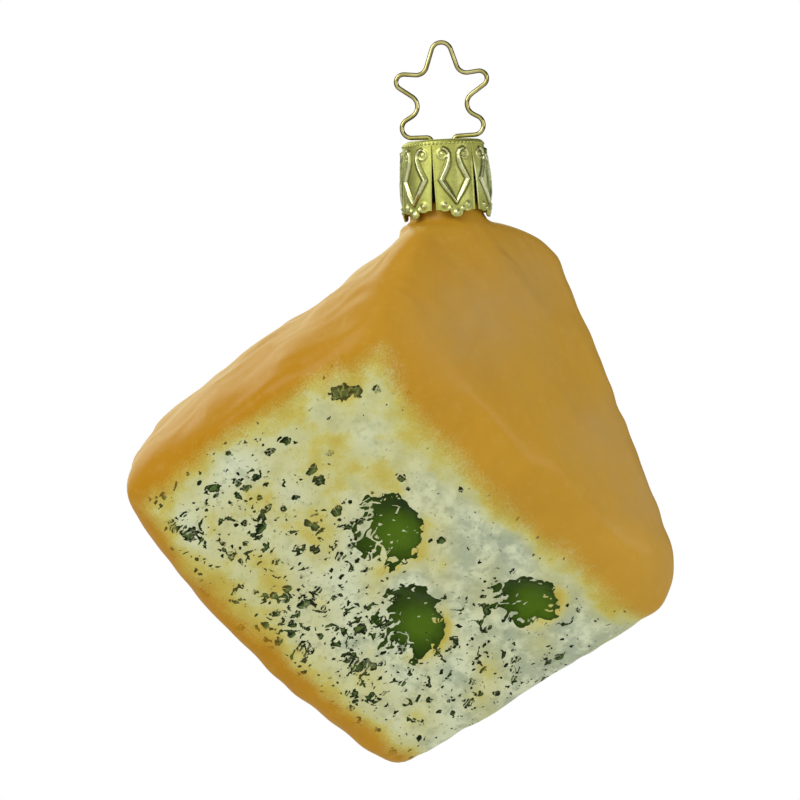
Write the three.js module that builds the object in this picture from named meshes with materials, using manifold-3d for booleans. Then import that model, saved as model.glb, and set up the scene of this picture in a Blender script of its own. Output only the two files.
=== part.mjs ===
// A hanging glass ornament in the shape of a wedge of blue cheese: a mould-blown glass wedge with a
// round neck, a stamped metal cap pushed over the neck, and a spring wire bent into a star that is
// held in the neck by its own legs. Millimetres. +Z is up along the neck, -Y is the speckled front.
// The origin is the inside of the star's top bend, where a hook bears.
import * as THREE from 'three';
import { mergeVertices } from 'three/addons/utils/BufferGeometryUtils.js';
import Module from 'manifold-3d';

// ---------------------------------------------------------------- driving dimensions
const clearance = 0.3;          // between any two pieces that fit together

// wire star
const wireDiameter = 0.7;
const starHeight = 14.15;       // wire centre to wire centre, from the top bend to the run over the cap
const starWidth = 16.2;         // between the sharp corners of the two side points
const starLean = 2.3;           // degrees that the star stands out of line with the cap
const legSpacing = 3.28;        // between the two legs where they pass through the cap
const legLength = 20;           // below the cap's top

// cap
const capHeight = 11.8;         // to the tips of the lobes
const petalFlare = 0.65;        // the petals' lower ends stand this far out past the top
const sheet = 0.3;              // thickness of the metal
const shoulderDrop = 0.7;       // height of the rounded edge round the top
const shoulderWidth = 0.75;
const petals = 6;
const firstSlit = -17;          // degrees from the front, positive towards +X
const slitTopWidth = 0.22;
const slitBottomWidth = 0.66;
const slitStart = 0.9;          // below the top
const lobeWidth = 2;
const lobeDrop = 1;             // the middle lobe below the petal's corners
const cornerRise = 1.1;         // rounding of a petal's bottom corners

// glass
const wall = 1;
const neckRadius = 5.5;
const neckFillet = 1.6;
const lipDrop = 1.2;            // the neck's rim below the underside of the cap
const footRise = 1.2;           // the neck is straight from this far above the cap's lower edge
const frontCut = 73;            // length of the front cut face, from the thin end to the rind
const backCut = 66.3;           // length of the back cut face
const thickness = 58.3;         // along the wedge, from one orange flat to the other
const crown = 6;                // the rind's arch across the wedge
const noseDepth = 4;            // how far the thin end is blunted
const edgeSharpness = 0.42;     // per millimetre; a higher value gives tighter edges
const shoulderGap = 0.45;       // between the cap's lower edge and the highest glass under it
const castDepth = 36;           // the centre of the glass below the cap's lower edge

// Directions of the wedge's three edges that meet at its near thin corner.
const frontDirection = new THREE.Vector3(-50.6, -22, 47.9).normalize();
const backDirection = new THREE.Vector3(-22.8, 20, 59).normalize();
const thickDirection = new THREE.Vector3(-47.6, 20, -27).normalize();
const neckAcross = 0.695;       // where the neck stands on the rind, from the front edge to the back
const neckAlong = 0.14;         // and from the near flat to the far one

// Facets round and along the glass, and round the wire.
const roundGlass = 52;
const outerRows = 36;
const innerRows = 16;
const wireSides = 8;
const wireSteps = 130;

// ---------------------------------------------------------------- places that follow from them
const wireRadius = wireDiameter / 2;
const wireTop = wireRadius;
const capTop = wireTop - starHeight - wireRadius - clearance;
const capBottom = capTop - capHeight;
const neckTop = capTop - sheet - lipDrop;
const neckBore = neckRadius - wall;
const capTopRadius = neckRadius + clearance + sheet;
const capBottomRadius = capTopRadius + petalFlare;
const legSpread = neckBore - wireRadius - clearance;
const axisX = -Math.tan(THREE.MathUtils.degToRad(starLean)) * starHeight;

// ---------------------------------------------------------------- shared helpers
const wasm = await Module();
wasm.setup();

// Welds a geometry's vertices and leaves out the slivers at its poles.
function welded(geometry) {
  geometry.deleteAttribute('normal');
  geometry.deleteAttribute('uv');
  const merged = mergeVertices(geometry, 1e-4);
  const index = merged.index.array;
  const kept = [];
  for (let i = 0; i < index.length; i += 3) {
    const [a, b, c] = [index[i], index[i + 1], index[i + 2]];
    if (a !== b && b !== c && c !== a) kept.push(a, b, c);
  }
  merged.setIndex(kept);
  return merged;
}

function solidOf(geometry) {
  const merged = welded(geometry);
  return new wasm.Manifold(new wasm.Mesh({
    numProp: 3,
    vertProperties: new Float32Array(merged.attributes.position.array),
    triVerts: new Uint32Array(merged.index.array),
  }));
}

function geometryOf(solid) {
  const mesh = solid.getMesh();
  const geometry = new THREE.BufferGeometry();
  geometry.setAttribute('position', new THREE.BufferAttribute(mesh.vertProperties, 3));
  geometry.setIndex(new THREE.BufferAttribute(mesh.triVerts, 1));
  return geometry;
}

function named(name, geometry, color, roughness, metalness) {
  geometry.computeVertexNormals();
  const mesh = new THREE.Mesh(geometry, new THREE.MeshStandardMaterial({ color, roughness, metalness }));
  mesh.name = name;
  return mesh;
}

// ---------------------------------------------------------------- glass wedge
// The wedge's own zero is the place on its plain rind where the neck's axis meets it, so the wedge
// stays under the neck whatever its sizes are. Near and far are the ends of its thickness.
const frontEdge = frontDirection.clone().multiplyScalar(frontCut);
const backEdge = backDirection.clone().multiplyScalar(backCut);
const thickEdge = thickDirection.clone().multiplyScalar(thickness);
const thinNear = frontEdge.clone().lerp(backEdge, neckAcross).addScaledVector(thickEdge, neckAlong).negate();
const frontNear = thinNear.clone().add(frontEdge);
const backNear = thinNear.clone().add(backEdge);
const thinFar = thinNear.clone().add(thickEdge);
const frontFar = frontNear.clone().add(thickEdge);
const rindNear = frontNear.clone().lerp(backNear, 0.5);
const rindFar = rindNear.clone().add(thickEdge);
const middle = thinNear.clone().lerp(rindFar, 0.5);

// The plane through a point that holds two edges, with its normal turned away from the middle.
function face(point, edgeA, edgeB) {
  const normal = edgeA.clone().cross(edgeB).normalize();
  if (normal.dot(middle.clone().sub(point)) > 0) normal.negate();
  return new THREE.Plane(normal, -normal.dot(point));
}

const frontFace = face(thinNear, frontEdge, thickEdge);
const backFace = face(thinNear, backEdge, thickEdge);
const nearFlat = face(thinNear, frontEdge, backEdge);
const farFlat = face(thinFar, frontEdge, backEdge);
const rindFace = face(frontNear, thickEdge, backNear.clone().sub(frontNear));

// The thin end is blunted square to the line that halves the angle between the cut faces.
const halving = frontDirection.clone().add(backDirection);
halving.addScaledVector(thickDirection, -halving.dot(thickDirection)).normalize();
const nosePoint = thinNear.clone().addScaledVector(halving, noseDepth);
const nose = new THREE.Plane(halving.clone().negate(), halving.dot(nosePoint));

// Across the rind, square to its long edges: -1 on the front edge and 1 on the back edge.
const across = backNear.clone().sub(frontNear);
across.addScaledVector(thickDirection, -across.dot(thickDirection));
const halfRind = across.length() / 2;
across.normalize();

// Where the blown glass stands proud of the plain wedge, or falls short of it, in millimetres.
const swellReach = 26;
const swells = [
  [frontNear, -6.5],
  [frontFar, -6],
  [rindNear, 4.2],
  [rindNear.clone().lerp(rindFar, 0.5), 2.5],
  [rindFar, 1.3],
];

// Below zero inside the plain wedge, with every edge rounded by the sum of exponentials.
function plainWedge(point) {
  const side = point.clone().sub(rindNear).dot(across) / halfRind;
  const arch = crown * (1 - side * side);
  const planes = [frontFace, backFace, nearFlat, farFlat, nose];
  const heights = planes.map((plane) => plane.distanceToPoint(point));
  heights.push(rindFace.distanceToPoint(point) - arch);
  const top = Math.max(...heights);
  const sum = heights.reduce((total, height) => total + Math.exp(edgeSharpness * (height - top)), 0);
  return top + Math.log(sum) / edgeSharpness;
}

function wedgeField(point) {
  return swells.reduce((height, [place, proud]) => (
    height - proud * Math.exp(-point.distanceToSquared(place) / swellReach ** 2)
  ), plainWedge(point));
}

// The last step outwards along a ray, found by halving, that is still inside a field.
function reachOf(field, start, direction, longest) {
  let inside = 0;
  let outside = longest;
  for (let step = 0; step < 26; step += 1) {
    const reach = (inside + outside) / 2;
    if (field(start.clone().addScaledVector(direction, reach)) < 0) inside = reach;
    else outside = reach;
  }
  return inside;
}

// The highest glass in the ring under the cap's lower edge sets how low the wedge hangs.
const upwards = new THREE.Vector3(0, 0, 1);
const ringHeights = [neckRadius, capBottomRadius].flatMap((radius) => (
  Array.from({ length: 24 }, (_, i) => {
    const angle = (i / 24) * Math.PI * 2;
    const foot = new THREE.Vector3(radius * Math.cos(angle), radius * Math.sin(angle), -castDepth / 2);
    return reachOf(wedgeField, foot, upwards, castDepth) - castDepth / 2;
  })
));
const wedgeZero = new THREE.Vector3(0, 0, capBottom - shoulderGap - Math.max(...ringHeights));
const castCentre = new THREE.Vector3(0, 0, capBottom - castDepth);

// The wedge and the neck as one, with a fillet where they meet. The neck is a column that stands on
// the casting centre.
function glassField(point) {
  const wedge = wedgeField(point.clone().sub(wedgeZero));
  const below = Math.min(point.z - castCentre.z, 0);
  const neck = Math.hypot(point.x, point.y, below) - neckRadius;
  const blend = Math.max(neckFillet - Math.abs(wedge - neck), 0) / neckFillet;
  return Math.min(wedge, neck) - (blend * blend * neckFillet) / 4;
}

// A round flask is turned first: rows up the outside, over the rim of the neck and down the inside.
// Then each vertex of its bulb moves out along its ray until it meets the wedge, or the wall's
// thickness short of it.
function glassBody() {
  const flask = [];
  const addBulb = (row, rows, radius, depth) => {
    const opening = Math.atan2(radius, castDepth);
    const angle = Math.PI - (Math.PI - opening) * (row / rows);
    flask.push({ radius: Math.max(Math.sin(angle), 0), height: Math.cos(angle), depth });
  };
  for (let row = 0; row <= outerRows; row += 1) addBulb(row, outerRows, neckRadius, 0);
  const neckStart = capBottom + footRise;
  const lipStart = neckTop - wall / 3;
  flask.push({ radius: neckRadius, height: neckStart });
  flask.push({ radius: neckRadius, height: lipStart });
  flask.push({ radius: neckRadius - wall / 3, height: neckTop });
  flask.push({ radius: neckBore + wall / 3, height: neckTop });
  flask.push({ radius: neckBore, height: lipStart });
  flask.push({ radius: neckBore, height: neckStart });
  for (let row = innerRows; row >= 0; row -= 1) addBulb(row, innerRows, neckBore, wall);

  const profile = flask.map((ring) => new THREE.Vector2(ring.radius < 1e-6 ? 0 : ring.radius, ring.height));
  const geometry = new THREE.LatheGeometry(profile, roundGlass);
  geometry.rotateX(Math.PI / 2);
  const position = geometry.attributes.position;
  const vertex = new THREE.Vector3();
  for (let i = 0; i < position.count; i += 1) {
    const ring = flask[i % flask.length];
    if (ring.depth === undefined) continue;
    vertex.fromBufferAttribute(position, i).normalize();
    const reach = reachOf((point) => glassField(point) + ring.depth, castCentre, vertex, 2 * frontCut);
    vertex.multiplyScalar(reach).add(castCentre);
    position.setXYZ(i, vertex.x, vertex.y, vertex.z);
  }
  return geometryOf(solidOf(geometry));
}

// ---------------------------------------------------------------- cap
// One cutter makes the slit between two petals and shapes the lower edge on both sides of it,
// as far as the lobes in the middle of the petals.
function petalCutter(azimuth) {
  const reach = capBottomRadius + 2;
  const edge = capBottom + lobeDrop;
  const toLobe = capBottomRadius * Math.sin(Math.PI / petals) - lobeWidth / 2;
  const slitTop = capTop - slitStart;
  const half = slitBottomWidth / 2;
  const right = [
    [toLobe, capBottom - 1],
    [toLobe, edge - lobeDrop / 2],
    [toLobe - lobeDrop / 2, edge],
    [half + cornerRise * 0.6, edge],
    [half + cornerRise * 0.15, edge + cornerRise * 0.4],
    [half, edge + cornerRise],
    [slitTopWidth / 2, slitTop],
  ];
  const left = right.map(([x, z]) => [-x, z]).reverse();
  const shape = new THREE.Shape([...right, ...left].map(([x, z]) => new THREE.Vector2(x, z)));
  const geometry = new THREE.ExtrudeGeometry(shape, { depth: reach, bevelEnabled: false });
  const angle = THREE.MathUtils.degToRad(azimuth);
  const outward = new THREE.Vector3(Math.sin(angle), -Math.cos(angle), 0);
  const sideways = new THREE.Vector3(Math.cos(angle), Math.sin(angle), 0);
  const place = new THREE.Matrix4().makeBasis(sideways, new THREE.Vector3(0, 0, 1), outward);
  geometry.applyMatrix4(place);
  return solidOf(geometry);
}

function cap() {
  const profile = [
    [0, capTop - sheet],
    [capTopRadius - sheet - shoulderWidth, capTop - sheet],
    [capTopRadius - sheet, capTop - shoulderDrop],
    [capBottomRadius - sheet, capBottom],
    [capBottomRadius, capBottom],
    [capTopRadius, capTop - shoulderDrop],
    [capTopRadius - shoulderWidth / 4, capTop - shoulderDrop / 3],
    [capTopRadius - shoulderWidth, capTop],
    [0, capTop],
  ].map(([x, z]) => new THREE.Vector2(x, z));
  const turned = new THREE.LatheGeometry(profile, 72);
  turned.rotateX(Math.PI / 2);
  let solid = solidOf(turned);
  for (let petal = 0; petal < petals; petal += 1) {
    solid = solid.subtract(petalCutter(firstSlit + (petal * 360) / petals));
  }
  for (const side of [-1, 1]) {
    const hole = new THREE.CylinderGeometry(wireRadius + clearance, wireRadius + clearance, 3, 16);
    hole.rotateX(Math.PI / 2);
    hole.translate((side * legSpacing) / 2, 0, capTop);
    solid = solid.subtract(solidOf(hole));
  }
  return geometryOf(solid);
}

// ---------------------------------------------------------------- wire star
// Half of the star, from the top bend down to the leg's end: sharp corner places, and the radius
// that the wire is bent to at each. Heights count down from the wire's centre at the top.
function starWire() {
  const half = starWidth / 2;
  const leg = legSpacing / 2;
  const topRadius = 1.5;
  const corners = [
    [half * 0.33, starHeight * 0.343, 1],
    [half, starHeight * 0.336, 0.72],
    [half * 0.376, starHeight * 0.654, 1.2],
    [half * 1.02, starHeight * 0.945, 1.4],
    [leg, starHeight, 0.75],
    [leg, starHeight + legLength * 0.45, 2],
    [legSpread, starHeight + legLength, 0],
  ];
  // The top bend's sharp corner stands as far above the bend as its sides' slope asks for.
  const [notchX, notchDepth] = corners[0];
  const square = 1 - (notchX / topRadius) ** 2;
  const slope = notchDepth - notchX ** 2 / topRadius;
  const apex = (-slope - Math.sqrt(slope ** 2 - square * notchDepth ** 2)) / square;
  const toPoint = ([x, depth], side) => {
    const lean = axisX * Math.min(depth / starHeight, 1);
    return new THREE.Vector3(side * x + lean, 0, wireTop - depth);
  };
  const route = [
    ...corners.map((corner) => ({ place: toPoint(corner, -1), radius: corner[2] })).reverse(),
    { place: new THREE.Vector3(0, 0, wireTop + apex), radius: topRadius },
    ...corners.map((corner) => ({ place: toPoint(corner, 1), radius: corner[2] })),
  ];

  // Each corner becomes a short bend that starts and ends on the straight runs beside it.
  const path = new THREE.CurvePath();
  let from = route[0].place;
  for (let i = 1; i < route.length - 1; i += 1) {
    const { place, radius } = route[i];
    const back = route[i - 1].place.clone().sub(place);
    const ahead = route[i + 1].place.clone().sub(place);
    const trim = radius / Math.tan(back.angleTo(ahead) / 2);
    const start = place.clone().addScaledVector(back.normalize(), trim);
    const end = place.clone().addScaledVector(ahead.normalize(), trim);
    path.add(new THREE.LineCurve3(from, start));
    const centre = back.clone().add(ahead).normalize().multiplyScalar(Math.hypot(radius, trim)).add(place);
    const turn = start.clone().sub(centre).angleTo(end.clone().sub(centre));
    const pieces = Math.max(2, Math.ceil(turn / 0.35));
    let last = start;
    const sideways = start.clone().sub(centre);
    const axis = sideways.clone().cross(end.clone().sub(centre)).normalize();
    for (let piece = 1; piece <= pieces; piece += 1) {
      const next = sideways.clone().applyAxisAngle(axis, (turn * piece) / pieces).add(centre);
      path.add(new THREE.LineCurve3(last, next));
      last = next;
    }
    from = last;
  }
  path.add(new THREE.LineCurve3(from, route[route.length - 1].place));

  const section = new THREE.Shape();
  for (let side = 0; side < wireSides; side += 1) {
    const angle = (side / wireSides) * Math.PI * 2;
    const corner = [wireRadius * Math.cos(angle), wireRadius * Math.sin(angle)];
    if (side === 0) section.moveTo(...corner);
    else section.lineTo(...corner);
  }
  section.closePath();
  const wire = new THREE.ExtrudeGeometry(section, { steps: wireSteps, extrudePath: path });
  return welded(wire);
}

// ---------------------------------------------------------------- the ornament
const group = new THREE.Group();

const body = named('glass_body', glassBody(), 0xc8922c, 0.35, 0);
body.position.set(axisX, 0, 0);
group.add(body);

const crownCap = named('cap', cap(), 0xb4a862, 0.3, 1);
crownCap.position.set(axisX, 0, 0);
group.add(crownCap);

const star = named('star_hanger', starWire(), 0xb89b5a, 0.25, 1);
group.add(star);

export default group;
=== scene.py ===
import math

import bpy
import numpy as np
from mathutils import Matrix, Vector
from mathutils.geometry import delaunay_2d_cdt


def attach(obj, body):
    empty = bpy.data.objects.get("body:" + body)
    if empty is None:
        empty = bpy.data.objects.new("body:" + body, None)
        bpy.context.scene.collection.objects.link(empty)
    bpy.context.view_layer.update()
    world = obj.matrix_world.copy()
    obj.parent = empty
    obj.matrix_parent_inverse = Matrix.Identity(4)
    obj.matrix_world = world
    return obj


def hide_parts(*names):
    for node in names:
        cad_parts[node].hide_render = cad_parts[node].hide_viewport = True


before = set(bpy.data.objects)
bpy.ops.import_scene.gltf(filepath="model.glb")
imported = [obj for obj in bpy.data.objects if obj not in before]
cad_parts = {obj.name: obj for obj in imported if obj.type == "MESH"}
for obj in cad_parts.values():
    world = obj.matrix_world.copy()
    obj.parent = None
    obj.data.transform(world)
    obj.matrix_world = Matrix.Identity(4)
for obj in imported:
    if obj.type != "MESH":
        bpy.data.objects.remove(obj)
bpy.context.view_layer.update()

# ---------------------------------------------------------------------- the blown glass
# One hollow bulb of clear glass, blown into a wedge-shaped mould and left open at the top of its
# round neck. The mould gives it a lumpy rind, crumbly cut faces and three round hollows in front.
mm = 0.001
star_height = 14.15
hanging_lean = math.radians(2.3)
neck_x = -math.tan(hanging_lean) * star_height
neck_radius = 5.5
neck_bore = 4.5
neck_top = -15.95
neck_foot = -25.05
under_cap = -26.25
lip_round = 0.33
cast_centre = np.array([neck_x, 0, -62.25])
under_neck = np.array([neck_x, 0, -36.7])
rind_curve = 6
edge_sharpness = 0.42
neck_fillet = 1.6
swell_size = 26


def unit(*vector):
    return np.array(vector, float) / np.linalg.norm(vector)


def ease(value, low, high):
    share = np.clip((value - low) / (high - low), 0, 1)
    return share * share * (3 - 2 * share)


# The wedge's edges start from its thin near corner: up the front, up the back and through its
# thickness. The neck stands on the rind at these shares of its width and thickness.
front_way = unit(-50.6, -22, 47.9)
back_way = unit(-22.8, 20, 59)
thick_way = unit(-47.6, 20, -27)
front_length = 73
front_edge = front_way * front_length
back_edge = back_way * 66.3
thick_edge = thick_way * 58.3
neck_across = 0.695
neck_deep = 0.14
thin_near = under_neck - front_edge - (back_edge - front_edge) * neck_across - thick_edge * neck_deep
front_near = thin_near + front_edge
back_near = thin_near + back_edge
rind_near = (front_near + back_near) / 2
rind_far = rind_near + thick_edge
middle = (thin_near + rind_far) / 2


# A flat side of the wedge, as its outward normal and its distance from zero.
def face(point, edge_a, edge_b):
    normal = unit(*np.cross(edge_a, edge_b))
    if normal @ (middle - point) > 0:
        normal = -normal
    return normal, normal @ point


front_face = face(thin_near, front_edge, thick_edge)
back_face = face(thin_near, back_edge, thick_edge)
near_flat = face(thin_near, front_edge, back_edge)
far_flat = face(thin_near + thick_edge, front_edge, back_edge)
rind_face = face(front_near, thick_edge, back_edge - front_edge)

# The thin edge is blunted by a small flat, square to the line halfway between front and back.
halving = front_way + back_way
halving = unit(*(halving - (halving @ thick_way) * thick_way))
nose = (-halving, -halving @ (thin_near + halving * 4))
across = back_edge - front_edge
across = across - (across @ thick_way) * thick_way
half_rind = np.linalg.norm(across) / 2
across = unit(*across)

# Where the mould is fuller or leaner than a plain wedge, and by how much.
swells = [
    (front_near, -6.5),
    (front_near + thick_edge, -6),
    (rind_near, 4.2),
    ((rind_near + rind_far) / 2, 2.5),
    (rind_far, 1.3),
]


def height(points, plane):
    return points @ plane[0] - plane[1]


# The wedge and its neck without any relief: below zero inside the glass, above zero outside it.
def plain_glass(points):
    side = (points - rind_near) @ across / half_rind
    heights = [height(points, plane) for plane in (front_face, back_face, near_flat, far_flat, nose)]
    heights.append(height(points, rind_face) - rind_curve * (1 - side * side))
    heights = np.array(heights)
    top = heights.max(0)
    wedge = top + np.log(np.exp(edge_sharpness * (heights - top)).sum(0)) / edge_sharpness
    for place, proud in swells:
        wedge = wedge - proud * np.exp(-((points - place) ** 2).sum(-1) / swell_size**2)
    below = np.minimum(points[..., 2] - cast_centre[2], 0)
    neck = np.sqrt((points[..., 0] - neck_x) ** 2 + points[..., 1] ** 2 + below**2) - neck_radius
    blend = np.maximum(neck_fillet - abs(wedge - neck), 0) / neck_fillet
    return np.minimum(wedge, neck) - blend**2 * neck_fillet / 4


# How far a ray runs before it leaves the glass, found by halving.
def reach(field, starts, ways, longest):
    inside = np.zeros(ways.shape[:-1])
    outside = inside + longest
    for _ in range(22):
        middling = (inside + outside) / 2
        glass = field(starts + ways * middling[..., None]) < 0
        inside = np.where(glass, middling, inside)
        outside = np.where(glass, outside, middling)
    return inside


# A smooth random unevenness round zero, of about the given wavelength. It seldom passes 2.
def waves(seed, length, count=16):
    chance = np.random.default_rng(seed)
    ways = chance.normal(size=(count, 3))
    spread = chance.uniform(0.7, 1.4, (count, 1))
    ways *= (2 * math.pi / length) * spread / np.linalg.norm(ways, axis=1)[:, None]
    phases = chance.uniform(0, 2 * math.pi, count)
    return lambda points: np.sin(points @ ways.T + phases).sum(-1) * math.sqrt(2 / count)


lumps = waves(11, 14)
dimples = waves(5, 5.5)
crumbs = waves(23, 3.2, 22)
sway = waves(42, 9)
down_face = unit(*(thick_way - (thick_way @ front_way) * front_way))


# A place on the front cut face, by its distance up from the thin edge and in from the near flat.
def on_front(up, along):
    outward = front_face[0]
    inside_by = 12
    start = thin_near + front_way * up + down_face * along - outward * inside_by
    return start + outward * reach(plain_glass, start[None], outward[None], inside_by + 8)[0]


# Each round hollow: its place, its radius, how much taller than wide it is, and how far left of its
# middle the paint over it starts to be ragged.
hollows = [
    (on_front(46.3, 24.1), 4.5, 0.2, -0.25),
    (on_front(33.1, 33.1), 4.4, 0.2, -0.25),
    (on_front(23.5, 18.3), 4.3, -0.2, 0.05),
]

# The largest flecks are shallow pits, each with a place and a radius.
patches = [
    (on_front(66.5, 13.5), 1.2),
    (on_front(65.6, 12.4), 1.3),
    (on_front(64.7, 11.4), 1.1),
    (on_front(33.7, 44.8), 1.6),
    (on_front(31.9, 43.2), 1.3),
    (on_front(65.7, 45.9), 1.3),
    (on_front(67.8, 47.0), 1.3),
    (on_front(61.5, 38.4), 0.8),
    (on_front(58.7, 44.3), 0.95),
    (on_front(61.3, 43.7), 0.7),
    (on_front(58.9, 25.2), 0.75),
    (on_front(51.3, 34.1), 0.8),
    (on_front(45.9, 41.5), 0.95),
    (on_front(53.2, 27.0), 0.9),
    (on_front(50.5, 27.5), 1.0),
    (on_front(40.6, 48.0), 1.4),
    (on_front(37.1, 39.2), 1.1),
    (on_front(37.3, 31.3), 0.95),
    (on_front(50.9, 16.3), 0.8),
    (on_front(48.9, 16.9), 0.6),
]
upright = unit(*(np.array([0, 0, 1]) - front_face[0][2] * front_face[0]))


# Distance from an oval hollow's middle, 1 at its edge.
def from_hollow(points, place, radius, taller):
    offset = points - place
    return np.linalg.norm(offset - taller * (offset @ upright)[..., None] * upright, axis=-1) / radius


# How far a place on the glass lies on the ochre side of the border between the paints.
def rim_of(points):
    up = (points - thin_near) @ front_way
    near = height(points, near_flat) + 8.5 - 2.2 * ease(up, 52, 68)
    far = height(points, far_flat) + 5.6 + 2.6 * ease(up, 60, 74) + 1.4 * ease(-up, -14, 0)
    corner = np.minimum(abs(height(points, near_flat)), abs(height(points, far_flat)))
    rind = height(points, rind_face) + 5.6 - 1.7 * ease(corner, 6, 16)
    return np.maximum(np.maximum(near, far), rind) + 0.45 * sway(points)


# How far the lumps, ridges and crumbs stand out, less the hollows and pits.
def relief(points):
    ochre = ease(rim_of(points), -1.5, 2.5)
    rind = ease(height(points, rind_face), -5, 0)
    ridges = np.sin(2 * math.pi * ((points - rind_near) @ across + 1.2 * sway(points)) / 5.6)
    proud = ochre * (0.26 * lumps(points) + 0.05 * dimples(points)) + rind * 0.07 * ridges
    crumbly = (1 - ochre) * (1 - ease(height(points, nose), -5, -1.5))
    proud += crumbly * (0.08 * dimples(points) + 0.05 * crumbs(points))
    for place, radius, taller, _ in hollows:
        away = from_hollow(points, place, radius, taller)
        proud += 0.12 * np.exp(-(((away - 1.12) / 0.16) ** 2)) - 1.25 * np.exp(-(away**4) * 1.1)
    for place, radius in patches:
        away = np.linalg.norm(points - place, axis=-1) / radius
        proud -= 0.28 * np.exp(-(away**4))
    return proud


# Broad bulges and dips of the blown outline: across, up, how far out, and how wide.
bulges = [
    (neck_x - 5.4, -27.7, 1.4, 3.6),
    (-11.1, -31.1, 0.9, 6),
    (15.3, -31.3, -0.15, 5),
    (20.9, -45.2, -0.3, 6),
    (25.8, -65.5, 0.45, 6),
    (31.0, -84.0, -0.5, 6),
    (-41.3, -51.4, -0.35, 6),
    (-48.9, -62.5, -0.1, 5),
    (-43.9, -71.7, 0.5, 7),
    (-31.6, -88.0, -0.55, 8),
    (-9.0, -102.7, 0.4, 5),
    (1.5, -99.5, 0.3, 5),
]


def blown_glass(points):
    glass = plain_glass(points) - relief(points) * ease(-points[..., 2], 27, 33)
    for across_at, up_at, proud, size in bulges:
        away = (points[..., 0] - across_at) ** 2 + (points[..., 2] - up_at) ** 2
        glass = glass - proud * np.exp(-away / size**2) * ease(-points[..., 2], 26.3, 27.4)
    return glass


# The outside is fine enough to carry the relief; the inside is plain and lies below the hollows.
def blown_wall(points):
    return plain_glass(points) + 1 + 1.2 * ease(-points[..., 2], 30, 45)


columns = 400
turn = np.arange(columns) / columns * 2 * math.pi
turn_x = np.sin(turn)
turn_y = -np.cos(turn)


# The bulb is cast along rays from inside it. It starts just under the cap, where it is still round.
def bulb(rows, radius, field):
    neck_angle = math.atan2(radius, under_cap - cast_centre[2])
    down = math.pi - (math.pi - neck_angle) * np.arange(rows + 1)[:, None] / rows
    ways = np.stack([np.sin(down) * turn_x, np.sin(down) * turn_y, np.cos(down) + 0 * turn_x], -1)
    return cast_centre + ways * reach(field, cast_centre, ways, 2 * front_length)[..., None]


def hoop(radius, level):
    return np.stack([neck_x + radius * turn_x, radius * turn_y, 0 * turn_x + level], -1)[None]


outside = bulb(180, neck_radius, blown_glass)
inside = bulb(22, neck_bore, blown_wall)[::-1]
lip = [
    hoop(neck_radius, neck_foot),
    hoop(neck_radius, neck_top - lip_round),
    hoop(neck_radius - lip_round, neck_top),
    hoop(neck_bore + lip_round, neck_top),
    hoop(neck_bore, neck_top - lip_round),
    hoop(neck_bore, neck_foot),
]
rings = np.concatenate([outside[1:], *lip, inside[:-1]])
points = np.concatenate([outside[0][:1], rings.reshape(-1, 3), inside[-1][:1]])


# Rows of corners, each joined to the next, with one corner at each end.
def ring_faces(count, first):
    corner = first + np.arange(count * columns).reshape(count, columns)
    after = np.roll(corner, -1, 1)
    quads = np.stack([corner[:-1], after[:-1], after[1:], corner[1:]], -1).reshape(-1, 4)
    last = first + count * columns
    start = np.stack([np.full(columns, first - 1), after[0], corner[0]], -1)
    end = np.stack([np.full(columns, last), corner[-1], after[-1]], -1)
    return quads.tolist() + start.tolist() + end.tolist()


glass_mesh = bpy.data.meshes.new("painted_glass_body")
glass_mesh.from_pydata((points * mm).tolist(), [], ring_faces(len(rings), 1))
glass_mesh.shade_smooth()
glass = bpy.data.objects.new("painted_glass_body", glass_mesh)
bpy.context.scene.collection.objects.link(glass)

# ---------------------------------------------------------------------- the paint on the glass
# Clear green lacquer shows in the hollows and through gaps in dabbed white paint on the cut faces.
# Yellow and then ochre satin paint are sprayed over the borders, the flats and the rind.

# The glass carries a value for each place: how far over the ochre border it is (rim), how deep in a
# hollow (bowl) and how much painted light it gets on a hollow's lit side, how ragged its paint is, how
# much of the green the white leaves open, which large fleck it is in (patch), how much yellow wash it
# has together with a painted highlight on each hollow's lit rim, and how much painted sheen it has.
rim = rim_of(points)
bowl = np.zeros(len(points))
painted_hollow_light = np.zeros(len(points))
ragged = np.zeros(len(points))
opening = np.zeros(len(points))
wash_and_highlight = 0.06 + 0.62 * ease(rim, -5.5, 0.5) + 0.12 * sway(points)
hollow_light_way = unit(0.75, 0, -0.65)
rim_highlight_way = unit(0.75, 0.1, -0.65)
ragged_way = unit(-1, 0, -0.25)
for place, radius, taller, ragged_from in hollows:
    away = from_hollow(points, place, radius, taller)
    bowl = np.maximum(bowl, 1.62 - away)
    torn = ease((points - place) @ ragged_way / radius, ragged_from, ragged_from + 0.95)
    ragged = np.maximum(ragged, torn * ease(away, 1.8, 1.4))
    # Painted light: each hollow's green is lighter on its lit side, towards its lower right.
    from_hollow_light = np.linalg.norm(points - place - radius * 0.35 * hollow_light_way, axis=-1) / radius
    painted_hollow_light = np.maximum(painted_hollow_light, ease(1.15 - from_hollow_light, 0, 0.9))
    # Painted highlight: yellow along each hollow's rim on its lit, lower right side.
    painted_rim_highlight = ease((points - place) @ rim_highlight_way / radius, 0.1, 0.9)
    wash_and_highlight += 0.45 * np.exp(-(((away - 1.15) / 0.3) ** 2)) * painted_rim_highlight
    beside = place + (front_way + down_face) * radius * 1.1
    opening += 0.1 * np.exp(-((np.linalg.norm(points - beside, axis=-1) / (radius * 1.3)) ** 2))
patch = np.full(len(points), -9.0)
for place, radius in patches:
    patch = np.maximum(patch, 1.5 - np.linalg.norm(points - place, axis=-1) / radius)


# Soft spots on the front cut face, by their distances up and in, their sizes and their strengths.
def soft_spots(spots):
    total = np.zeros(len(points))
    for up_at, along_at, size, strength in spots:
        away = ((points - on_front(up_at, along_at)) ** 2).sum(-1)
        total += strength * np.exp(-away / size**2)
    return total
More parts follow.
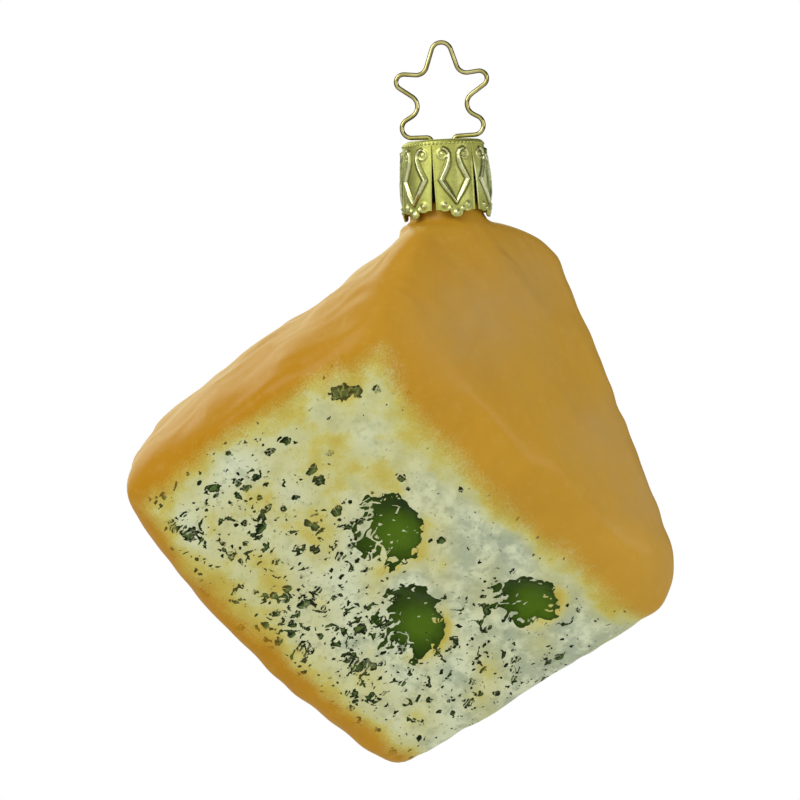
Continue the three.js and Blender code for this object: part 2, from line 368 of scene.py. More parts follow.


# Where the yellow spray reaches further on to the white, where the dabs of white leave more or less
# of the green bare, and where a painted sheen greys the ochre of the near flat.
wash_and_highlight += 0.75 * soft_spots([
    (60, 22, 14, 0.42), (60, 44, 16, 0.2), (36, 46, 10, 0.06), (57, 20, 4, 0.3),
    (63, 34, 3, 0.4), (57, 33, 3, 0.3), (53, 42, 3.5, 0.2), (44, 49, 5, 0.2),
    (33, 47, 6, 0.18), (20, 14, 3, 0.3), (52, 13, 4, 0.2), (12, 46, 7, 0.2),
])
opening += soft_spots([
    (46, 51, 6, 0.05), (30, 50, 6, 0.06), (68, 38, 6, 0.04), (38, 39, 9, 0.07),
    (62, 44, 9, 0.06), (50, 44, 8, 0.09), (66, 34, 6, 0.05), (24, 36, 8, 0.06),
    (22, 45, 7, 0.05), (12, 30, 9, 0.05), (60, 15, 9, -0.07), (34, 12, 8, -0.05),
    (38, 24, 4, -0.06), (50, 9, 6, -0.04),
])
opening -= 0.1 * ease(height(points, nose), -4, -0.5)
painted_sheen = np.zeros(len(points))
for across_at, up_at, size, strength in [
    (2.6, -42, 8, 0.55), (20, -59, 5.5, 0.45), (26.5, -69, 6, 0.5), (12, -36, 5, 0.3), (31, -80, 5, 0.3),
]:
    away = (points[:, 0] - across_at) ** 2 + (points[:, 2] - up_at) ** 2
    painted_sheen += strength * np.exp(-away / size**2) * ease(-points[:, 1], -10, -4)
back = ease(height(points, back_face), -5, -1.5)
opening += back * (0.04 + 0.05 * lumps(points))
wash_and_highlight += back * (0.16 + 0.12 * waves(77, 20)(points))
layers = {
    "rim": rim,
    "bowl": bowl,
    "painted_hollow_light": painted_hollow_light,
    "opening": opening,
    "patch": patch,
    "ragged": ragged,
    "wash_and_highlight": wash_and_highlight,
    "painted_sheen": painted_sheen,
}
for name, values in layers.items():
    layer = glass_mesh.attributes.new(name, "FLOAT", "POINT")
    layer.data.foreach_set("value", values.astype(np.float32))


class Flow:
    """A value, vector or colour on its way through a tree of nodes."""

    def __init__(self, tree, socket=None):
        self.tree = tree
        self.socket = socket

    def node(self, kind, settings=(), inputs=(), output=0):
        made = self.tree.nodes.new(kind)
        for name, value in dict(settings).items():
            setattr(made, name, value)
        for name, value in dict(inputs).items():
            if isinstance(value, Flow):
                self.tree.links.new(value.socket, made.inputs[name])
            else:
                made.inputs[name].default_value = value
        return Flow(self.tree, made.outputs[output])

    def math(self, operation, *values):
        return self.node("ShaderNodeMath", {"operation": operation}, enumerate(values))

    def __add__(self, other):
        return self.math("ADD", self, other)

    def __radd__(self, other):
        return self.math("ADD", other, self)

    def __sub__(self, other):
        return self.math("SUBTRACT", self, other)

    def __rsub__(self, other):
        return self.math("SUBTRACT", other, self)

    def __mul__(self, other):
        return self.math("MULTIPLY", self, other)

    def __rmul__(self, other):
        return self.math("MULTIPLY", other, self)

    def most(self, other):
        return self.math("MAXIMUM", self, other)

    def away_from(self, other):
        return self.math("ABSOLUTE", self - other)

    def ease(self, low, high):
        smooth = {"interpolation_type": "SMOOTHSTEP"}
        return self.node("ShaderNodeMapRange", smooth, {0: self, 1: low, 2: high})

    def noise(self, size, detail=2.0, roughness=0.5, bend=0.0):
        sizes = {"Scale": 1 / size, "Detail": detail, "Roughness": roughness, "Distortion": bend}
        return self.node("ShaderNodeTexNoise", {}, {"Vector": self, **sizes})

    def cells(self, size):
        return self.node("ShaderNodeTexVoronoi", {}, {"Vector": self, "Scale": 1 / size}, "Distance")

    def mixed(self, low, high):
        return self.node("ShaderNodeMix", {"data_type": "RGBA"}, {0: self, 6: low, 7: high}, 2)

    def sine(self):
        return self.math("SINE", self)

    def other(self, output):
        return Flow(self.tree, self.socket.node.outputs[output])

    def channels(self):
        red = self.node("ShaderNodeSeparateColor", {}, {0: self})
        return [red, red.other("Green"), red.other("Blue")]

    def warped(self, amount, size):
        push = self.node("ShaderNodeTexNoise", {}, {"Vector": self, "Scale": 1 / size}, "Color")
        return push.vector("MULTIPLY_ADD", {1: (amount, amount, amount), 2: self})

    def vector(self, operation, inputs, output=0):
        return self.node("ShaderNodeVectorMath", {"operation": operation}, {0: self, **inputs}, output)

    def minus(self, other):
        return self.vector("SUBTRACT", {1: other})

    def scaled(self, factor):
        return self.vector("SCALE", {"Scale": factor})

    def dot(self, way):
        return self.vector("DOT_PRODUCT", {1: tuple(way)}, "Value")

    def layer(self, name):
        return self.node("ShaderNodeAttribute", {"attribute_name": name}, {}, "Fac")


# A paint's colour, from the usual screen values to linear light.
def tint(red, green, blue):
    screen = np.array([red, green, blue]) / 255
    linear = np.where(screen < 0.04045, screen / 12.92, ((screen + 0.055) / 1.055) ** 2.4)
    return (*linear.tolist(), 1.0)


paint = bpy.data.materials.new("painted_glass")
paint.use_nodes = True
shader = paint.node_tree.nodes["Principled BSDF"]
flow = Flow(paint.node_tree)
spot = flow.node("ShaderNodeTexCoord", {}, {}, "Object").scaled(1000)
rim, bowl, painted_hollow_light = flow.layer("rim"), flow.layer("bowl"), flow.layer("painted_hollow_light")
opening, patch, wash_and_highlight = flow.layer("opening"), flow.layer("patch"), flow.layer("wash_and_highlight")
ragged = flow.layer("ragged")

# The dabs of white leave flakes of green that are longer along the thin edge than across it.
grid = flow.node(
    "ShaderNodeCombineXYZ",
    {},
    {0: spot.dot(front_way) * 1.2, 1: spot.dot(down_face) * 0.9, 2: spot.dot(front_face[0])},
)
broad = grid.noise(1.9, 2.4, 0.55, 0.6)
fine = grid.noise(0.75, 2.0, 0.55, 0.4)
grain = spot.noise(0.26, 1.0)
drift = spot.noise(7.0, 2.0)
blotch = spot.noise(3.0, 4.0, 0.6)
loose = grid.warped(1.4, 1.9).warped(0.75, 0.6)
strokes = (spot.dot(unit(0.86, 0.1, -0.5)) * (2 * math.pi / 0.6) + broad * 22).sine().ease(0.2, 0.5)
creases = grid.noise(1.7, 2.0, 0.5, 0.6).away_from(0.5).ease(0.028, 0.012)
share = 0.2 + opening * 3.4 + 0.3 * (drift - 0.5)

# Whole flakes, darker along their upper side as painted shade, over a scatter of smaller ones.
large = loose.cells(2.3)
chance = large.other("Color").channels()
large_in = 0.17 + 0.2 * chance[1] + 0.16 * (fine - 0.5) - large
painted_lower_light = (loose.minus(large.other("Position"))).dot((1, 0.2, 0)).ease(0.25, -0.5)
large_flakes = large_in.ease(0, 0.025) * (share * 1.15 - chance[0]).ease(0, 0.02)
large_flakes = large_flakes * (1 - strokes * chance[2].ease(0.6, 0.65))
small = loose.cells(1.15)
luck = small.other("Color").channels()
small_in = 0.12 + 0.26 * luck[1] - small
small_flakes = small_in.ease(0, 0.05) * (share * 0.85 - luck[0]).ease(0, 0.02)

# The hollows' edges are lobed and notched, with chips of white paint left inside them.
lobes = grid.noise(2.6, 1.2, 0.5, 0.5)
notches = grid.noise(1.5, 1.5, 0.5, 0.8)
edge_in = bowl + (1.0 + 1.7 * ragged) * (lobes - 0.5) + 0.4 * (notches - 0.5)
pool = edge_in.ease(0.5, 0.53)
chips = (notches + 0.12 * (fine - 0.5) + 0.08 * ragged).ease(0.65, 0.66)
squiggles = grid.noise(3.2, 1.0, 0.5, 0.9).away_from(0.5).ease(0.05, 0.035)
squiggles = squiggles * (ragged + lobes).ease(1.0, 1.05)
pool = pool * (1 - chips) * (1 - squiggles)
patch_in = patch - 0.1 + 2.5 * (notches - 0.5) + 0.8 * (lobes - 0.5)
patches_open = patch_in.ease(0.5, 0.56) * (1 - creases * 0.25)
patches_open = patches_open * (1 - strokes * drift.ease(0.56, 0.6) * 0.8)
gap = broad + 0.3 * (fine - 0.5) + opening + 0.16 * (drift - 0.5)
tears = gap.ease(0.7, 0.715)
specks = (fine + 0.4 * (broad - 0.5) + 0.4 * opening).ease(0.7, 0.715)
dots = grid.cells(2.6).ease(0.06, 0.045)
flakes = (large_flakes * (1 - creases * 0.5)).most(patches_open)
flakes = flakes.most(small_flakes).most(tears).most(specks * 0.5)
green = flakes.most(pool).most(dots * 0.9)

# Green is lighter inside a fleck than at its edge, with painted light on the lower side of large flecks
# and on a hollow's lit side.
inner = (large_in.ease(0.02, 0.12) * painted_lower_light * large_flakes).most(gap.ease(0.73, 0.84))
inner = inner.most(patch_in.ease(0.75, 1.15) * 0.7)
fleck_with_painted_light = inner.mixed(tint(14, 26, 2), tint(84, 106, 50))
lacquer_with_painted_light = 0.12 + painted_hollow_light * 0.75 + 0.5 * (blotch - 0.5) + edge_in.ease(0.5, 0.8) * 0.2
lacquer_with_painted_light = pool.mixed(fleck_with_painted_light, lacquer_with_painted_light.mixed(tint(20, 38, 0), tint(78, 108, 16)))

# The white is smudged with grey-green and turns warm under the yellow spray and under the painted
# highlight on each hollow's lit rim.
cool = (blotch + spot.dot((0.005, 0, 0)) + 0.03).ease(0.4, 0.66) * 0.85
white = cool.mixed(tint(218, 224, 192), tint(164, 175, 150))
smudge = grid.noise(1.1, 3.0, 0.6).ease(0.52, 0.72) * 0.55
white = smudge.mixed(white, tint(136, 152, 126))
white = (wash_and_highlight.ease(-0.15, 0.5) * 0.75).mixed(white, tint(202, 197, 130))
cut = green.mixed(white, lacquer_with_painted_light)
spray_and_highlight = (wash_and_highlight + 0.4 * (grain - 0.5) + 1.1 * (spot.noise(2.8, 3.0) - 0.5)).ease(0.14, 0.95)
yellow = spray_and_highlight.mixed(tint(208, 207, 128), tint(196, 172, 54))
cut = (spray_and_highlight.ease(0, 0.6) * 0.85 * (1 - pool) * (1 - 0.88 * green)).mixed(cut, yellow)

# The ochre has a grainy border, a slow change of hue, fine mottling and a painted sheen on the near
# flat.
border = (rim + 3.0 * (grain - 0.5) + 2.4 * (spot.noise(2.6, 3.0) - 0.5)).ease(-1.8, 2.3)
hue = (spot.dot((0.014, 0, 0)) + 0.6 * (spot.noise(13.0, 3.0) - 0.5)).ease(-0.6, 0.45)
ochre = hue.mixed(tint(187, 132, 14), tint(197, 150, 48))
ochre = (spot.noise(1.6, 4.0, 0.6).ease(0.5, 0.75) * 0.2).mixed(ochre, tint(204, 170, 84))
# Painted sheen: the ochre of the near flat is lighter and greyer in broad patches.
ochre = (flow.layer("painted_sheen") * (1 + spot.noise(4.0) - 0.5)).mixed(ochre, tint(186, 152, 94))
colour = border.mixed(cut, ochre)
# Painted shade: the neck is near black where the cap covers it, and its slits show this.
shade_under_cap = spot.dot((0, 0, 1)).ease(-24.4, -23.6)
colour = shade_under_cap.mixed(colour, tint(22, 18, 10))
flow.tree.links.new(colour.socket, shader.inputs["Base Color"])

# Bare lacquer is glossy and lies a coat of paint lower than the satin around it.
bare = green * (1 - border) * (1 - spray_and_highlight * 0.5)
satin = 0.4 + 0.12 * (spot.noise(5.0, 2.0) - 0.5)
flow.tree.links.new((satin - bare * 0.26).socket, shader.inputs["Roughness"])
flow.tree.links.new(((1 - green) * 0.14).socket, shader.inputs["Coat Weight"])
shader.inputs["Coat Roughness"].default_value = 0.28
shader.inputs["Specular IOR Level"].default_value = 0.09
shader.inputs["Sheen Weight"].default_value = 0.015
shader.inputs["Sheen Roughness"].default_value = 0.35
step = 0.05 * (1 - bare) + (1 - border) * (0.05 * (fine - 0.5) + 0.02 * (grain - 0.5))
step = step + border * (0.02 * (spot.noise(1.2, 2.0) - 0.5) + 0.04 * (spot.noise(3.4, 2.0) - 0.5))
bump = flow.node("ShaderNodeBump", {}, {"Strength": 1.0, "Distance": mm, "Height": step})
flow.tree.links.new(bump.socket, shader.inputs["Normal"])
glass_mesh.materials.append(paint)
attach(glass, "root")
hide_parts("glass_body")

# ---------------------------------------------------------------------- the neck cap
# A crown stamped from thin gold-coloured sheet metal: a flat top with two holes for the wire, a
# rounded shoulder and six embossed petals with slits between them. It is pushed over the neck.
cap_top = -14.45
cap_height = 11.8
cap_turn = -17
sheet_thickness = 0.28
petals = 6
petal_steps = 48
fall_steps = 84
around = petals * petal_steps
half_petal = math.radians(180 / petals)
flat_radius = 5.35
shoulder_radius = 6.1
shoulder_drop = 0.7
skirt_flare = 0.65
skirt_middle = 6.4
petal_top = 0.9
slit_fall = 9.8
slit_width = 0.44
leg_x = 1.64
leg_hole = 0.65
hole_steps = 20
shoulder_bend = np.radians([0, 18, 36, 54, 72, 90])
shoulder = [
    (flat_radius + (shoulder_radius - flat_radius) * math.sin(a), shoulder_drop * (1 - math.cos(a)))
    for a in shoulder_bend
]
shoulder.append((6.112, petal_top))

# How far each petal's foot stands out or in, and how much its middle bellies out.
flares = [0, -0.05, 0.12, 0, -0.2, -0.2]
bellies = [0, 0.16, 0, 0, 0, 0]


def skirt_radius(depth):
    return shoulder_radius + skirt_flare * (depth - shoulder_drop) / (cap_height - shoulder_drop)


# A petal's lower edge: rounded corners at the slits and a lobe with a bead in the middle.
def petal_fall(x):
    x = abs(x)
    lobe = np.sqrt(np.maximum(1 - (x / 1.15) ** 2, 0))
    scallop = 10.75 + 0.18 * np.sin(np.clip((x - 1.1) / 1.6, 0, 1) * math.pi)
    corner = 1.0 * np.clip((x - 2.35) / 0.8, 0, 1.2) ** 2
    return np.maximum(scallop - corner, 10.7 + 1.1 * lobe * ease(1.25 - x, 0, 0.3))


# Distance from the nearest stretch of a line of corners.
def near_line(x, depth, line):
    line = np.array(line, float)
    best = np.full(x.shape, 9.0)
    for start, end in zip(line[:-1], line[1:]):
        way = end - start
        share = np.clip(((x - start[0]) * way[0] + (depth - start[1]) * way[1]) / (way @ way), 0, 1)
        aside = x - start[0] - share * way[0]
        best = np.minimum(best, np.hypot(aside, depth - start[1] - share * way[1]))
    return best


# The stamped ornament: two scrolls, a lyre that widens to a lozenge, and beads below. It also
# gives the ridges' feet, where a painted shade darkens the metal.
def emboss(x, depth):
    x = abs(x)
    lyre = [(1.5, 1.5), (1.0, 1.75), (0.72, 2.3), (0.78, 3.1), (1.1, 4.2), (1.6, 5.2), (2.08, 6.1)]
    lozenge = [(2.08, 6.1), (1.05, 7.9), (0, 9.6)]
    width = 0.17 + 0.11 * ease(depth, 2, 4) * ease(-depth, -9.4, -7)
    ridge = 0.46 * np.exp(-((near_line(x, depth, lyre) / width) ** 2))
    ridge = np.maximum(ridge, 0.46 * np.exp(-((near_line(x, depth, lozenge) / width) ** 2)))
    scroll = np.hypot(x - 1.65, depth - 2.3)
    ridge = np.maximum(ridge, 0.2 * np.exp(-(((scroll - 0.68) / 0.15) ** 2)))
    ridge = np.maximum(ridge, 0.24 * np.exp(-((scroll / 0.24) ** 2)))
    for bead_x, bead_depth, size in ((1.8, 9.9, 0.36), (0, 11.05, 0.42), (0.95, 10.45, 0.26)):
        bead = np.hypot(x - bead_x, depth - bead_depth) / size
        ridge = np.maximum(ridge, 0.36 * np.exp(-(bead**2)))
    inner = near_line(x, depth, [(0, 3.4), (0, 8)])
    foot = np.minimum(near_line(x, depth, lyre), near_line(x, depth, lozenge)) - 1.75 * width
    return ridge + 0.06 * ease(1.5 - inner, 0, 1.3), np.exp(-((foot / 0.12) ** 2))


plain_proud = 0.1
cap_points = []
cap_proud = []
cap_crease_shade = []
cap_faces = []
for radius, depth in shoulder:
    for i in range(around):
        angle = math.radians(cap_turn + 360 * i / around)
        place = (neck_x + radius * math.sin(angle), -radius * math.cos(angle), cap_top - depth)
        cap_points.append(place)
        cap_proud.append(plain_proud)
        cap_crease_shade.append(0.0)
for ring in range(len(shoulder) - 1):
    for i in range(around):
        a, b = ring * around + i, ring * around + (i + 1) % around
        cap_faces.append((a, b, b + around, a + around)[::-1])
last_ring = (len(shoulder) - 1) * around
for petal in range(petals):
    share = np.linspace(-1, 1, petal_steps + 1)
    centre = math.radians(cap_turn) + (2 * petal + 1) * half_petal
    lower = petal_fall(share * skirt_middle * half_petal)
    rows = np.linspace(0, 1, fall_steps + 1)[1:, None]
    depth = petal_top + rows * (lower - petal_top)
    slit = slit_width * (depth - petal_top) / slit_fall
    radius = skirt_radius(depth)
    x = share * (radius * half_petal - slit)
    proud, painted_crease_shade = emboss(x, depth)
    proud = proud * ease(depth, 0.95, 1.3)
    proud = proud + 0.08 * ease(abs(share), 0.93, 1) * ease(depth, 2, 4)
    belly = np.sin(np.clip((depth - 1) / slit_fall, 0, 1) * math.pi) ** 2
    proud = proud + bellies[petal] * belly
    angle = centre + x / radius
    out = radius + proud + flares[petal] * ((depth - petal_top) / 10) ** 2
    first = len(cap_points)
    place = np.stack([neck_x + out * np.sin(angle), -out * np.cos(angle), cap_top - depth], -1)
    cap_points += place.reshape(-1, 3).tolist()
    cap_proud += (proud / 0.36).reshape(-1).tolist()
    cap_crease_shade += painted_crease_shade.reshape(-1).tolist()
    top_row = [last_ring + (petal * petal_steps + i) % around for i in range(petal_steps + 1)]
    lower_rows = first + np.arange(fall_steps * (petal_steps + 1)).reshape(fall_steps, -1)
    grid_rows = [top_row, *lower_rows.tolist()]
    for upper, under in zip(grid_rows[:-1], grid_rows[1:]):
        for i in range(petal_steps):
            cap_faces.append((upper[i], under[i], under[i + 1], upper[i + 1]))

# The flat top is filled in between its edge and the two holes.
edge = [Vector((x - neck_x, y)) for x, y, _ in cap_points[:around]]
holes = []
for side in (-1, 1):
    for i in range(hole_steps):
        a = 2 * math.pi * i / hole_steps
        holes.append(Vector((side * leg_x + leg_hole * math.cos(a), leg_hole * math.sin(a))))
starts = [0, around, around + hole_steps, around + 2 * hole_steps]
loops = [list(range(start, end)) for start, end in zip(starts[:-1], starts[1:])]
sides = [(loop[i], loop[(i + 1) % len(loop)]) for loop in loops for i in range(len(loop))]
flat, _, fills, origin, _, _ = delaunay_2d_cdt(edge + holes, sides, [], 0, 1e-6)
numbers = []
for point, sources in zip(flat, origin):
    if sources and sources[0] < around:
        numbers.append(sources[0])
    else:
        numbers.append(len(cap_points))
        cap_points.append((neck_x + point.x, point.y, cap_top))
        cap_proud.append(plain_proud)
        cap_crease_shade.append(0.0)
for fill in fills:
    centre = sum((flat[i] for i in fill), Vector((0, 0))) / len(fill)
    if min((centre - Vector((side * leg_x, 0))).length for side in (-1, 1)) > leg_hole - 0.05:
        cap_faces.append(tuple(numbers[i] for i in fill))

cap_mesh = bpy.data.meshes.new("embossed_cap")
cap_mesh.from_pydata((np.array(cap_points) * mm).tolist(), [], cap_faces)
for name, values in (("proud", cap_proud), ("painted_crease_shade", cap_crease_shade)):
    layer = cap_mesh.attributes.new(name, "FLOAT", "POINT")
    layer.data.foreach_set("value", np.array(values, np.float32))
cap_mesh.shade_smooth()
cap = bpy.data.objects.new("embossed_cap", cap_mesh)
bpy.context.scene.collection.objects.link(cap)
sheet = cap.modifiers.new("sheet", "SOLIDIFY")
sheet.thickness = sheet_thickness * mm
sheet.offset = -1


# A piece whose modifiers have become its plain mesh.
def settled(piece):
    bpy.context.view_layer.update()
    depsgraph = bpy.context.evaluated_depsgraph_get()
    mesh = bpy.data.meshes.new_from_object(piece.evaluated_get(depsgraph))
    piece.modifiers.clear()
    piece.data = mesh
    return piece


settled(cap)
gold = bpy.data.materials.new("cap_metal")
gold.use_nodes = True
shader = gold.node_tree.nodes["Principled BSDF"]
flow = Flow(gold.node_tree)
spot = flow.node("ShaderNodeTexCoord", {}, {}, "Object").scaled(1000)
# The ridges are lighter and smoother, from worn plating and a painted highlight.
worn_and_highlight = flow.layer("proud").ease(0.05, 0.75)
haze = spot.noise(1.8, 3.0)
colour = worn_and_highlight.mixed(tint(184, 184, 108), tint(222, 224, 180))
colour = (haze.ease(0.5, 0.75) * 0.3).mixed(colour, tint(150, 146, 70))
colour = (spot.noise(0.4, 2.0).ease(0.45, 0.7) * 0.35).mixed(colour, tint(140, 142, 64))
# Painted shade: dark lines along the feet of the ridges.
colour = (flow.layer("painted_crease_shade") * 0.95).mixed(colour, tint(70, 64, 20))
flow.tree.links.new(colour.socket, shader.inputs["Base Color"])
flow.tree.links.new((0.38 + 0.12 * haze - 0.2 * worn_and_highlight).socket, shader.inputs["Roughness"])
shader.inputs["Metallic"].default_value = 1.0
pitting = 0.006 * spot.noise(0.25, 2.0)
bump = flow.node("ShaderNodeBump", {}, {"Strength": 1.0, "Distance": mm, "Height": pitting})
flow.tree.links.new(bump.socket, shader.inputs["Normal"])
cap.data.materials.clear()
cap.data.materials.append(gold)
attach(cap, "root")
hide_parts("cap")

# ---------------------------------------------------------------------- the beaded edge
# A row of small round beads, stamped into the cap's shoulder all the way round.
bead_ring = 6.0
bead_drop = 0.68
beading = bpy.data.node_groups.new("beaded_edge", "GeometryNodeTree")
for name, kind, standard in (
    ("Edge radius", "NodeSocketFloat", bead_ring * mm),
    ("Beads", "NodeSocketInt", 62),
    ("Bead radius", "NodeSocketFloat", 0.25 * mm),
):
    beading.interface.new_socket(name, in_out="INPUT", socket_type=kind).default_value = standard
beading.interface.new_socket("Geometry", in_out="OUTPUT", socket_type="NodeSocketGeometry")
flow = Flow(beading)
wanted = flow.node("NodeGroupInput").socket.node.outputs
ring = flow.node(
    "GeometryNodeMeshCircle",
    {},
    {"Vertices": Flow(beading, wanted["Beads"]), "Radius": Flow(beading, wanted["Edge radius"])},
)
bead = flow.node(
    "GeometryNodeMeshUVSphere",
    {},
    {"Segments": 8, "Rings": 5, "Radius": Flow(beading, wanted["Bead radius"])},
)
row = flow.node("GeometryNodeInstanceOnPoints", {}, {"Points": ring, "Instance": bead})
row = flow.node("GeometryNodeRealizeInstances", {}, {"Geometry": row})
ring_centre = (neck_x * mm, 0, (cap_top - bead_drop) * mm)
row = flow.node("GeometryNodeTransform", {}, {"Geometry": row, "Translation": ring_centre})
row = flow.node("GeometryNodeSetShadeSmooth", {}, {"Geometry": row})
row = flow.node("GeometryNodeSetMaterial", {}, {"Geometry": row, "Material": gold})
end = beading.nodes.new("NodeGroupOutput")
beading.links.new(row.socket, end.inputs["Geometry"])


# A piece grown from a mesh by a tree, with the tree's named sizes set.
def grown(name, mesh, group, sizes):
    piece = bpy.data.objects.new(name, mesh)
    bpy.context.scene.collection.objects.link(piece)
    modifier = piece.modifiers.new(name, "NODES")
    modifier.node_group = group
    for socket in group.interface.items_tree:
        if socket.name in sizes:
            modifier[socket.identifier] = sizes[socket.name]
    return settled(piece)


bead_sizes = {"Edge radius": bead_ring * mm, "Beads": 62}
beads = grown("cap_beads", bpy.data.meshes.new("cap_beads"), beading, bead_sizes)
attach(beads, "root")

# ---------------------------------------------------------------------- the star hanger
# One brass-plated spring wire, bent into a five-pointed star. Its two legs go down through the
# cap's holes and spread inside the neck, which holds the cap and the wire in place.
wire_radius = 0.35
leg_length = 20

# Half of the star from its top notch down to a leg's end: how far out, how far down, and the bend.
corners = [
    (2.67, 4.85, 1.6),
    (10.0, 4.05, 1.15),
    (2.15, 9.55, 1.8),
    (10.0, 14.0, 1.45),
    (leg_x, star_height, 0.75),
    (leg_x, star_height + 9, 2.0),
    (3.85, star_height + leg_length, 0.0),
]

# The top bend's arc meets the straight runs to the first corners.
top_radius = 1.5
notch_x, notch_depth = corners[0][:2]
square = 1 - (notch_x / top_radius) ** 2
slope = notch_depth - notch_x**2 / top_radius
apex = (-slope - math.sqrt(slope**2 - square * notch_depth**2)) / square


def wire_place(x, depth):
    return np.array([x + neck_x * min(depth / star_height, 1), 0, wire_radius - depth])


route = [(wire_place(-x, depth), bend) for x, depth, bend in reversed(corners)]
route.append((np.array([0, 0, wire_radius + apex]), top_radius))
route += [(wire_place(x, depth), bend) for x, depth, bend in corners]

# Each corner is rounded by an arc of its bend's radius.
wire_line = [route[0][0]]
for before, (place, bend), after in zip(route[:-2], route[1:-1], route[2:]):
    back = unit(*(before[0] - place))
    ahead = unit(*(after[0] - place))
    corner = math.acos(np.clip(back @ ahead, -1, 1))
    trim = bend / math.tan(corner / 2)
    centre = place + unit(*(back + ahead)) * math.hypot(bend, trim)
    start = place + back * trim - centre
    end_spoke = place + ahead * trim - centre
    sweep = math.pi - corner
    steps = max(4, math.ceil(sweep / 0.16))
    for i in range(steps + 1):
        share = i / steps
        spoke = math.sin((1 - share) * sweep) * start + math.sin(share * sweep) * end_spoke
        wire_line.append(centre + spoke / math.sin(sweep))
wire_line.append(route[-1][0])
line_mesh = bpy.data.meshes.new("star_line")
pairs = [(i, i + 1) for i in range(len(wire_line) - 1)]
line_mesh.from_pydata((np.array(wire_line) * mm).tolist(), pairs, [])

brass = bpy.data.materials.new("wire")
brass.use_nodes = True
shader = brass.node_tree.nodes["Principled BSDF"]
flow = Flow(brass.node_tree)
spot = flow.node("ShaderNodeTexCoord", {}, {}, "Object").scaled(1000)
colour = spot.noise(2.4, 2.0).ease(0.35, 0.65).mixed(tint(172, 160, 104), tint(206, 196, 146))
# Painted dark reflection: the wire darkens towards its outline, where it faces away from the view.
side = flow.node("ShaderNodeLayerWeight", {}, {"Blend": 0.5}, "Facing")
colour = side.ease(0.06, 0.36).mixed(colour, tint(72, 60, 22))
flow.tree.links.new(colour.socket, shader.inputs["Base Color"])
flow.tree.links.new((0.07 + 0.1 * spot.noise(1.0, 2.0)).socket, shader.inputs["Roughness"])
shader.inputs["Metallic"].default_value = 1.0

drawing = bpy.data.node_groups.new("drawn_wire", "GeometryNodeTree")
drawing.interface.new_socket("Geometry", in_out="INPUT", socket_type="NodeSocketGeometry")
gauge = drawing.interface.new_socket("Wire radius", in_out="INPUT", socket_type="NodeSocketFloat")
gauge.default_value = wire_radius * mm
drawing.interface.new_socket("Geometry", in_out="OUTPUT", socket_type="NodeSocketGeometry")
flow = Flow(drawing)
wanted = flow.node("NodeGroupInput").socket.node.outputs
line = flow.node("GeometryNodeMeshToCurve", {}, {"Mesh": Flow(drawing, wanted["Geometry"])})
section = flow.node(
    "GeometryNodeCurvePrimitiveCircle",
    {},
    {"Resolution": 16, "Radius": Flow(drawing, wanted["Wire radius"])},
)
tube = flow.node(
    "GeometryNodeCurveToMesh",
    {},
    {"Curve": line, "Profile Curve": section, "Fill Caps": True},
)
tube = flow.node("GeometryNodeSetShadeSmooth", {}, {"Geometry": tube})
tube = flow.node("GeometryNodeRealizeInstances", {}, {"Geometry": tube})
tube = flow.node("GeometryNodeSetMaterial", {}, {"Geometry": tube, "Material": brass})
end = drawing.nodes.new("NodeGroupOutput")
drawing.links.new(tube.socket, end.inputs["Geometry"])
star = grown("star_wire", line_mesh, drawing, {"Wire radius": wire_radius * mm})
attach(star, "root")
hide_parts("star_hanger")

# ---------------------------------------------------------------------- the studio
# The ornament hangs over a pale floor, before plain white. Three soft lights stand round it, and the
# metal and the lacquer mirror a dim tent with bright cloths in front, behind, overhead and at the sides.
floor_steps = 96
floor_radius = 2
floor_level = -0.36
floor_turn = np.arange(floor_steps) * 2 * math.pi / floor_steps
floor_edge = np.stack([np.cos(floor_turn), np.sin(floor_turn), 0 * floor_turn], -1) * floor_radius
floor_edge[:, 2] = floor_level
floor_mesh = bpy.data.meshes.new("floor")
floor_mesh.from_pydata(floor_edge.tolist(), [], [tuple(range(floor_steps))])
floor = bpy.data.objects.new("floor", floor_mesh)
bpy.context.scene.collection.objects.link(floor)
pale = bpy.data.materials.new("pale_floor")
pale.use_nodes = True
shader = pale.node_tree.nodes["Principled BSDF"]
shader.inputs["Base Color"].default_value = (0.86, 0.86, 0.85, 1)
shader.inputs["Roughness"].default_value = 0.9
floor_mesh.materials.append(pale)

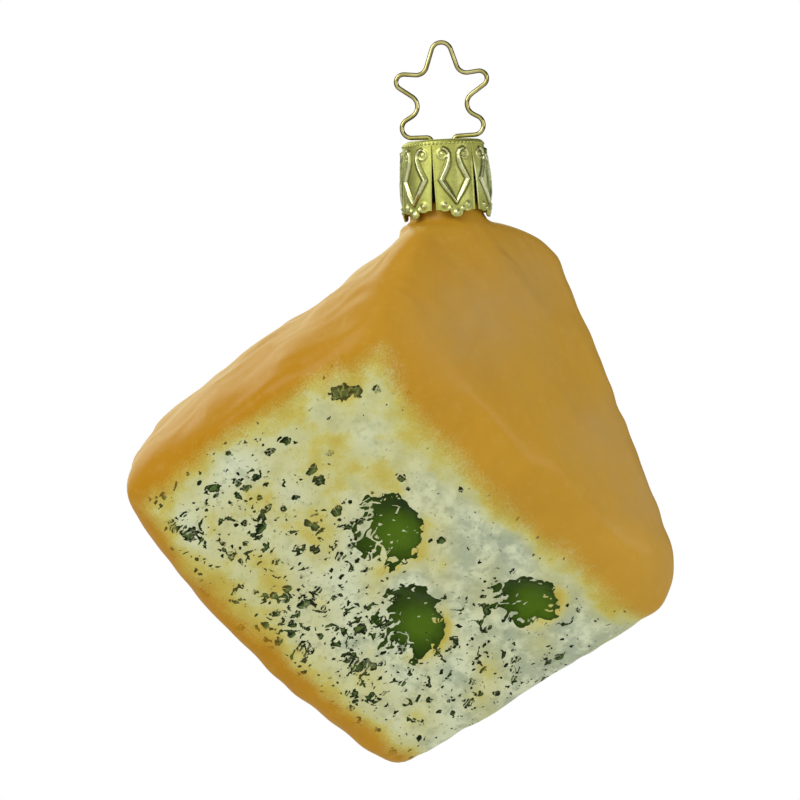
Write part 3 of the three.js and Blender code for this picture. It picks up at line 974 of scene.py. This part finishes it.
world = bpy.data.worlds.new("tent")
world.use_nodes = True
bpy.context.scene.world = world
sky = world.node_tree.nodes["Background"]
flow = Flow(world.node_tree)
way = flow.node("ShaderNodeTexCoord", {}, {}, "Generated")
before = way.dot(unit(-0.3, -0.85, 0.35)).ease(0.5, 0.95) * 1.1
behind = way.dot(unit(-0.3, 0.85, 0.42)).ease(0.8, 0.95) * 1.7
over = way.dot((0, 0, 1)).ease(0.55, 0.9) * 0.35
right_side = way.dot(unit(0.9, 0.3, 0.05)).ease(0.78, 0.96) * 0.75
left_side = way.dot(unit(-1, 0, 0.1)).ease(0.75, 0.97) * 0.4
tent = (0.04 + before + over + right_side + left_side).most(behind)

# White where it is seen, an even light on matt paint, and a tinted tent in what mirrors it.
seen = flow.node("ShaderNodeLightPath", {}, {}, "Is Camera Ray")
spread = seen.other("Is Diffuse Ray")
light = seen + (1 - seen) * (spread * 0.55 + (1 - spread) * tent)
flow.tree.links.new(light.socket, sky.inputs["Strength"])
shiny = (1 - seen) * (1 - spread)
cloth = shiny.mixed((1, 1, 1, 1), (0.95, 1, 0.74, 1))
flow.tree.links.new(cloth.socket, sky.inputs["Color"])


def soft_light(name, place, aim, size, watts):
    lamp = bpy.data.lights.new(name, "AREA")
    lamp.size = size
    lamp.energy = watts
    stand = bpy.data.objects.new(name, lamp)
    stand.location = place
    stand.rotation_euler = (Vector(aim) - Vector(place)).to_track_quat("-Z", "Y").to_euler()
    bpy.context.scene.collection.objects.link(stand)


body_middle = (0, 0, -0.06)
soft_light("upper_left", (-0.55, -0.45, 0.45), body_middle, 0.5, 3.2)
soft_light("behind_left", (-0.5, 0.45, 0.4), body_middle, 0.4, 0.45)
soft_light("right", (0.6, -0.5, 0.1), body_middle, 0.35, 1.15)

# The camera looks level at the front, with a slight roll.
lens = bpy.data.cameras.new("camera")
lens.lens = 180
lens.sensor_width = 36
camera = bpy.data.objects.new("camera", lens)
roll = math.radians(3)
camera.matrix_world = Matrix((
    (math.cos(roll), math.sin(roll), 0, -0.009),
    (0, 0, -1, -0.6),
    (-math.sin(roll), math.cos(roll), 0, -0.0529),
    (0, 0, 0, 1),
))
bpy.context.scene.collection.objects.link(camera)
bpy.context.scene.camera = camera
bpy.context.scene.view_settings.view_transform = "Standard"
